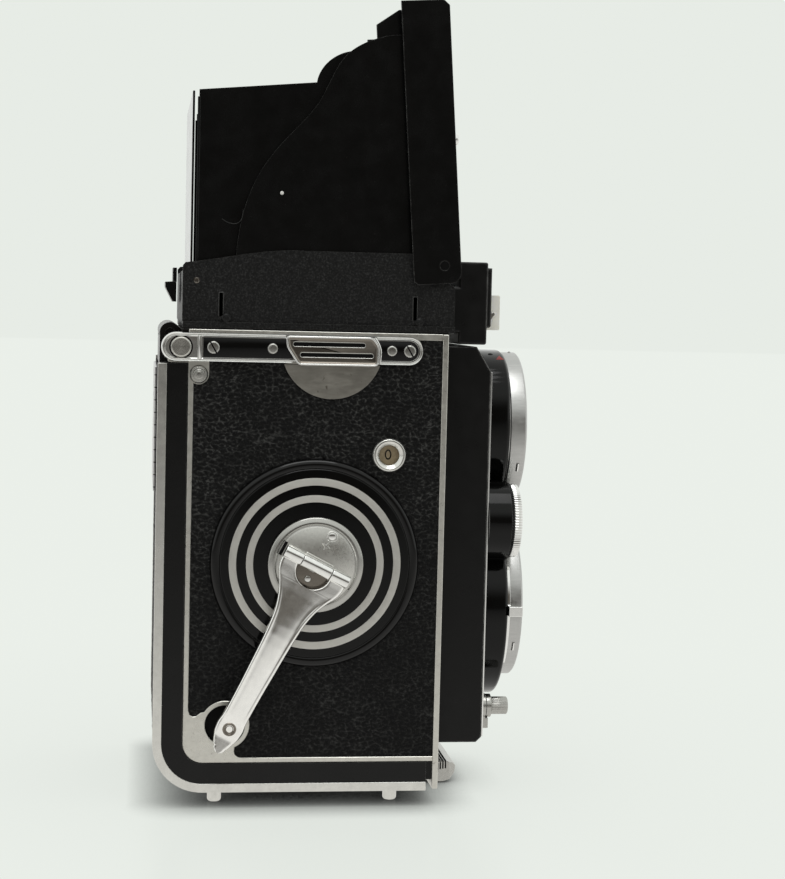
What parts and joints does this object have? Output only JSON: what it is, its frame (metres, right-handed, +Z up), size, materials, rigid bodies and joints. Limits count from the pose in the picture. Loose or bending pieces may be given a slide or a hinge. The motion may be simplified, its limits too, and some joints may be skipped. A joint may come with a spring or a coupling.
{
  "type": "twin lens reflex camera",
  "caption": "Boxy medium-format twin lens reflex camera with a raised folding viewing hood, a side winding crank, stacked front lenses and a hinged back.",
  "frame": {"origin": "on the tripod socket's axis, level with the soles of the feet", "axes": "+Z up through the hood; -Y towards the lenses; the winding crank is on -X and the focusing knob on +X"},
  "size_m": [0.0994, 0.1041, 0.2167],
  "materials": {
    "black_lacquer": "fine-grained satin black",
    "hood_black": "smooth satin black",
    "black_enamel": "glossy black",
    "satin_trim": "satin, warm grey",
    "turned_aluminium": "fine turned",
    "chrome": "satin to bright",
    "steel": "brushed",
    "leather": "coarse black grain",
    "glass": "polished",
    "mirror": "front-silvered",
    "meter_window": "translucent cream"
  },
  "bodies": {
    "camera_body": {"body_casting": "black_lacquer", "front_plate": "black_lacquer", "side_trims": "satin_trim", "side_leathers": "leather", "crank_escutcheon": "black_enamel", "escutcheon_rings": "turned_aluminium", "counter_bezel": "chrome", "strap_rails": "chrome", "strap_lugs": "steel", "rail_fasteners": "chrome", "lug_wear_plates": "steel", "reflex_mirror": "mirror", "focusing_screen": "glass", "screen_frame": "black_lacquer", "hood_base": "black_lacquer", "meter_housing": "black_lacquer", "meter_window": "meter_window", "hinge_pins": "chrome", "film_rollers": "black_lacquer"},
    "hinge_release": {"hinge_release_button": "chrome"},
    "crank_hub": {"crank_hub": "chrome"},
    "crank_arm": {"crank_arm": "chrome"},
    "crank_knob": {"crank_knob": "chrome"},
    "frame_counter": {"frame_counter_dial": "turned_aluminium"},
    "takeup_spool": {"takeup_spool": "black_enamel"},
    "feed_spool": {"feed_spool": "black_enamel"},
    "feed_spool_knob": {"feed_spool_knob": "chrome"},
    "takeup_spool_knob": {"takeup_spool_knob": "chrome"},
    "back_door": {"back_door": "black_lacquer", "door_rims": "chrome", "back_leather": "leather", "exposure_guide": "black_lacquer", "tripod_socket": "steel", "feet": "chrome"},
    "pressure_plate": {"pressure_plate": "black_lacquer"},
    "back_lock_ring": {"back_lock_ring": "steel"},
    "back_latch": {"back_latch": "steel"},
    "focus_knob": {"focus_knob": "black_enamel"},
    "lens_standard": {"lens_standard": "black_lacquer", "panel_trim": "chrome", "lens_panel": "black_enamel", "lens_bayonets": "chrome", "lens_barrels": "black_enamel", "lens_elements": "glass", "release_collar": "chrome"},
    "aperture_wheel": {"aperture_wheel": "chrome"},
    "shutter_speed_wheel": {"shutter_speed_wheel": "chrome"},
    "shutter_button": {"shutter_button": "chrome"},
    "release_lock": {"release_lock_lever": "chrome"},
    "self_timer": {"self_timer_lever": "chrome"},
    "hood_lid": {"hood_lid": "hood_black"},
    "finder_flap": {"finder_flap": "hood_black"},
    "magnifier": {"magnifier_frame": "hood_black", "magnifier_lens": "glass"},
    "hood_rear_panel": {"hood_rear_panel": "hood_black"},
    "front_wing_right": {"front_wing_right": "hood_black"},
    "front_wing_left": {"front_wing_left": "hood_black"},
    "rear_wing_right": {"rear_wing_right": "hood_black"},
    "rear_wing_left": {"rear_wing_left": "hood_black"},
    "hood_catch": {"hood_catch": "hood_black"}
  },
  "joints": [
    {"name": "hinge_release_press", "type": "slide", "parent": "camera_body", "child": "hinge_release", "axis": [1, 0, 0], "range_m": [0, 0.0008]},
    {"name": "crank_turn", "type": "hinge", "parent": "camera_body", "child": "crank_hub", "pos_m": [-0.04035, -0.0038, 0.0665], "axis": [-1, 0, 0], "continuous": true},
    {"name": "crank_unfold", "type": "hinge", "parent": "crank_hub", "child": "crank_arm", "pos_m": [-0.04555, -0.0038, 0.0665], "axis": [0, 0.8894, 0.4571], "range_deg": [0, 170]},
    {"name": "crank_knob_spin", "type": "hinge", "parent": "crank_arm", "child": "crank_knob", "pos_m": [-0.04035, 0.0186, 0.02292], "axis": [-1, 0, 0], "continuous": true},
    {"name": "counter_turn", "type": "hinge", "parent": "camera_body", "child": "frame_counter", "pos_m": [-0.0366, -0.02325, 0.0909], "axis": [-1, 0, 0], "continuous": true},
    {"name": "takeup_spool_turn", "type": "hinge", "parent": "camera_body", "child": "takeup_spool", "pos_m": [0, 0.02, 0.097], "axis": [-1, 0, 0], "continuous": true},
    {"name": "feed_spool_turn", "type": "hinge", "parent": "camera_body", "child": "feed_spool", "pos_m": [0, -0.006, 0.0184], "axis": [-1, 0, 0], "continuous": true},
    {"name": "feed_knob_pull", "type": "slide", "parent": "camera_body", "child": "feed_spool_knob", "axis": [1, 0, 0], "range_m": [0, 0.005]},
    {"name": "takeup_knob_pull", "type": "slide", "parent": "camera_body", "child": "takeup_spool_knob", "axis": [1, 0, 0], "range_m": [0, 0.005]},
    {"name": "back_door_open", "type": "hinge", "parent": "camera_body", "child": "back_door", "pos_m": [0, 0.0356, 0.1274], "axis": [1, 0, 0], "range_deg": [0, 90]},
    {"name": "pressure_plate_spring", "type": "slide", "parent": "back_door", "child": "pressure_plate", "axis": [0, 1, 0], "range_m": [0, 0.0007]},
    {"name": "lock_ring_turn", "type": "hinge", "parent": "back_door", "child": "back_lock_ring", "pos_m": [0, 0, 0.003], "axis": [0, 0, 1], "range_deg": [0, 90]},
    {"name": "back_latch_open", "type": "hinge", "parent": "back_door", "child": "back_latch", "pos_m": [0, -0.029, 0.0027], "axis": [1, 0, 0], "range_deg": [0, 60]},
    {"name": "focus_turn", "type": "hinge", "parent": "camera_body", "child": "focus_knob", "pos_m": [0.039, -0.012, 0.06], "axis": [1, 0, 0], "range_deg": [0, 270]},
    {"name": "focus_rack", "type": "slide", "parent": "camera_body", "child": "lens_standard", "axis": [0, -1, 0], "range_m": [0, 0.007]},
    {"name": "aperture_turn", "type": "hinge", "parent": "lens_standard", "child": "aperture_wheel", "pos_m": [-0.0215, -0.06, 0.0766], "axis": [0, -1, 0], "range_deg": [0, 140]},
    {"name": "shutter_speed_turn", "type": "hinge", "parent": "lens_standard", "child": "shutter_speed_wheel", "pos_m": [0.0215, -0.06, 0.0766], "axis": [0, -1, 0], "range_deg": [0, 140]},
    {"name": "shutter_press", "type": "slide", "parent": "lens_standard", "child": "shutter_button", "axis": [0, 1, 0], "range_m": [0, 0.0025]},
    {"name": "release_lock_turn", "type": "hinge", "parent": "lens_standard", "child": "release_lock", "pos_m": [-0.025, -0.053, 0.0247], "axis": [0, -1, 0], "range_deg": [0, 80]},
    {"name": "self_timer_wind", "type": "hinge", "parent": "lens_standard", "child": "self_timer", "pos_m": [0, -0.06, 0.0515], "axis": [0, -1, 0], "range_deg": [0, 35]},
    {"name": "hood_lid_fold", "type": "hinge", "parent": "camera_body", "child": "hood_lid", "pos_m": [0, -0.03717, 0.147], "axis": [-1, 0, 0], "range_deg": [0, 85.9], "deforming": ["hood_rear_panel", "front_wing_right", "front_wing_left", "rear_wing_right", "rear_wing_left"]},
    {"name": "finder_flap_swing", "type": "hinge", "parent": "hood_lid", "child": "finder_flap", "pos_m": [0, -0.03558, 0.21242], "axis": [-1, 0, 0], "range_deg": [-70, 0]},
    {"name": "magnifier_swing", "type": "hinge", "parent": "finder_flap", "child": "magnifier", "pos_m": [0, -0.03405, 0.2101], "axis": [-1, 0, 0], "range_deg": [-90, 0]},
    {"name": "rear_panel_fold", "type": "hinge", "parent": "camera_body", "child": "hood_rear_panel", "pos_m": [0, 0.0303, 0.1405], "axis": [1, 0, 0], "range_deg": [0, 90]},
    {"name": "front_wing_right_fold", "type": "hinge", "parent": "hood_lid", "child": "front_wing_right", "pos_m": [-0.03565, -0.03472, 0.14198], "axis": [0, -0.0715, -0.9974], "range_deg": [0, 90]},
    {"name": "front_wing_left_fold", "type": "hinge", "parent": "hood_lid", "child": "front_wing_left", "pos_m": [0.03565, -0.03312, 0.14186], "axis": [0, 0.0715, 0.9974], "range_deg": [0, 90]},
    {"name": "rear_wing_right_fold", "type": "hinge", "parent": "hood_rear_panel", "child": "rear_wing_right", "pos_m": [-0.03365, 0.0289, 0.15], "axis": [0, 0, 1], "range_deg": [0, 90]},
    {"name": "rear_wing_left_fold", "type": "hinge", "parent": "hood_rear_panel", "child": "rear_wing_left", "pos_m": [0.03365, 0.0277, 0.15], "axis": [0, 0, -1], "range_deg": [0, 90]},
    {"name": "hood_catch_press", "type": "slide", "parent": "camera_body", "child": "hood_catch", "axis": [0, -1, 0], "range_m": [0, 0.0009]}
  ],
  "couplings": [
    {"joint": "counter_turn", "follows": "crank_turn", "ratio": 0.076923},
    {"joint": "takeup_spool_turn", "follows": "crank_turn", "ratio": 1},
    {"joint": "focus_turn", "follows": "focus_rack", "rad_per_m": 673.2},
    {"joint": "rear_panel_fold", "follows": "hood_lid_fold", "ratio": 1.0477},
    {"joint": "front_wing_right_fold", "follows": "hood_lid_fold", "ratio": 1.0477},
    {"joint": "front_wing_left_fold", "follows": "hood_lid_fold", "ratio": 1.0477},
    {"joint": "rear_wing_right_fold", "follows": "hood_lid_fold", "ratio": 1.0477},
    {"joint": "rear_wing_left_fold", "follows": "hood_lid_fold", "ratio": 1.0477}
  ]
}
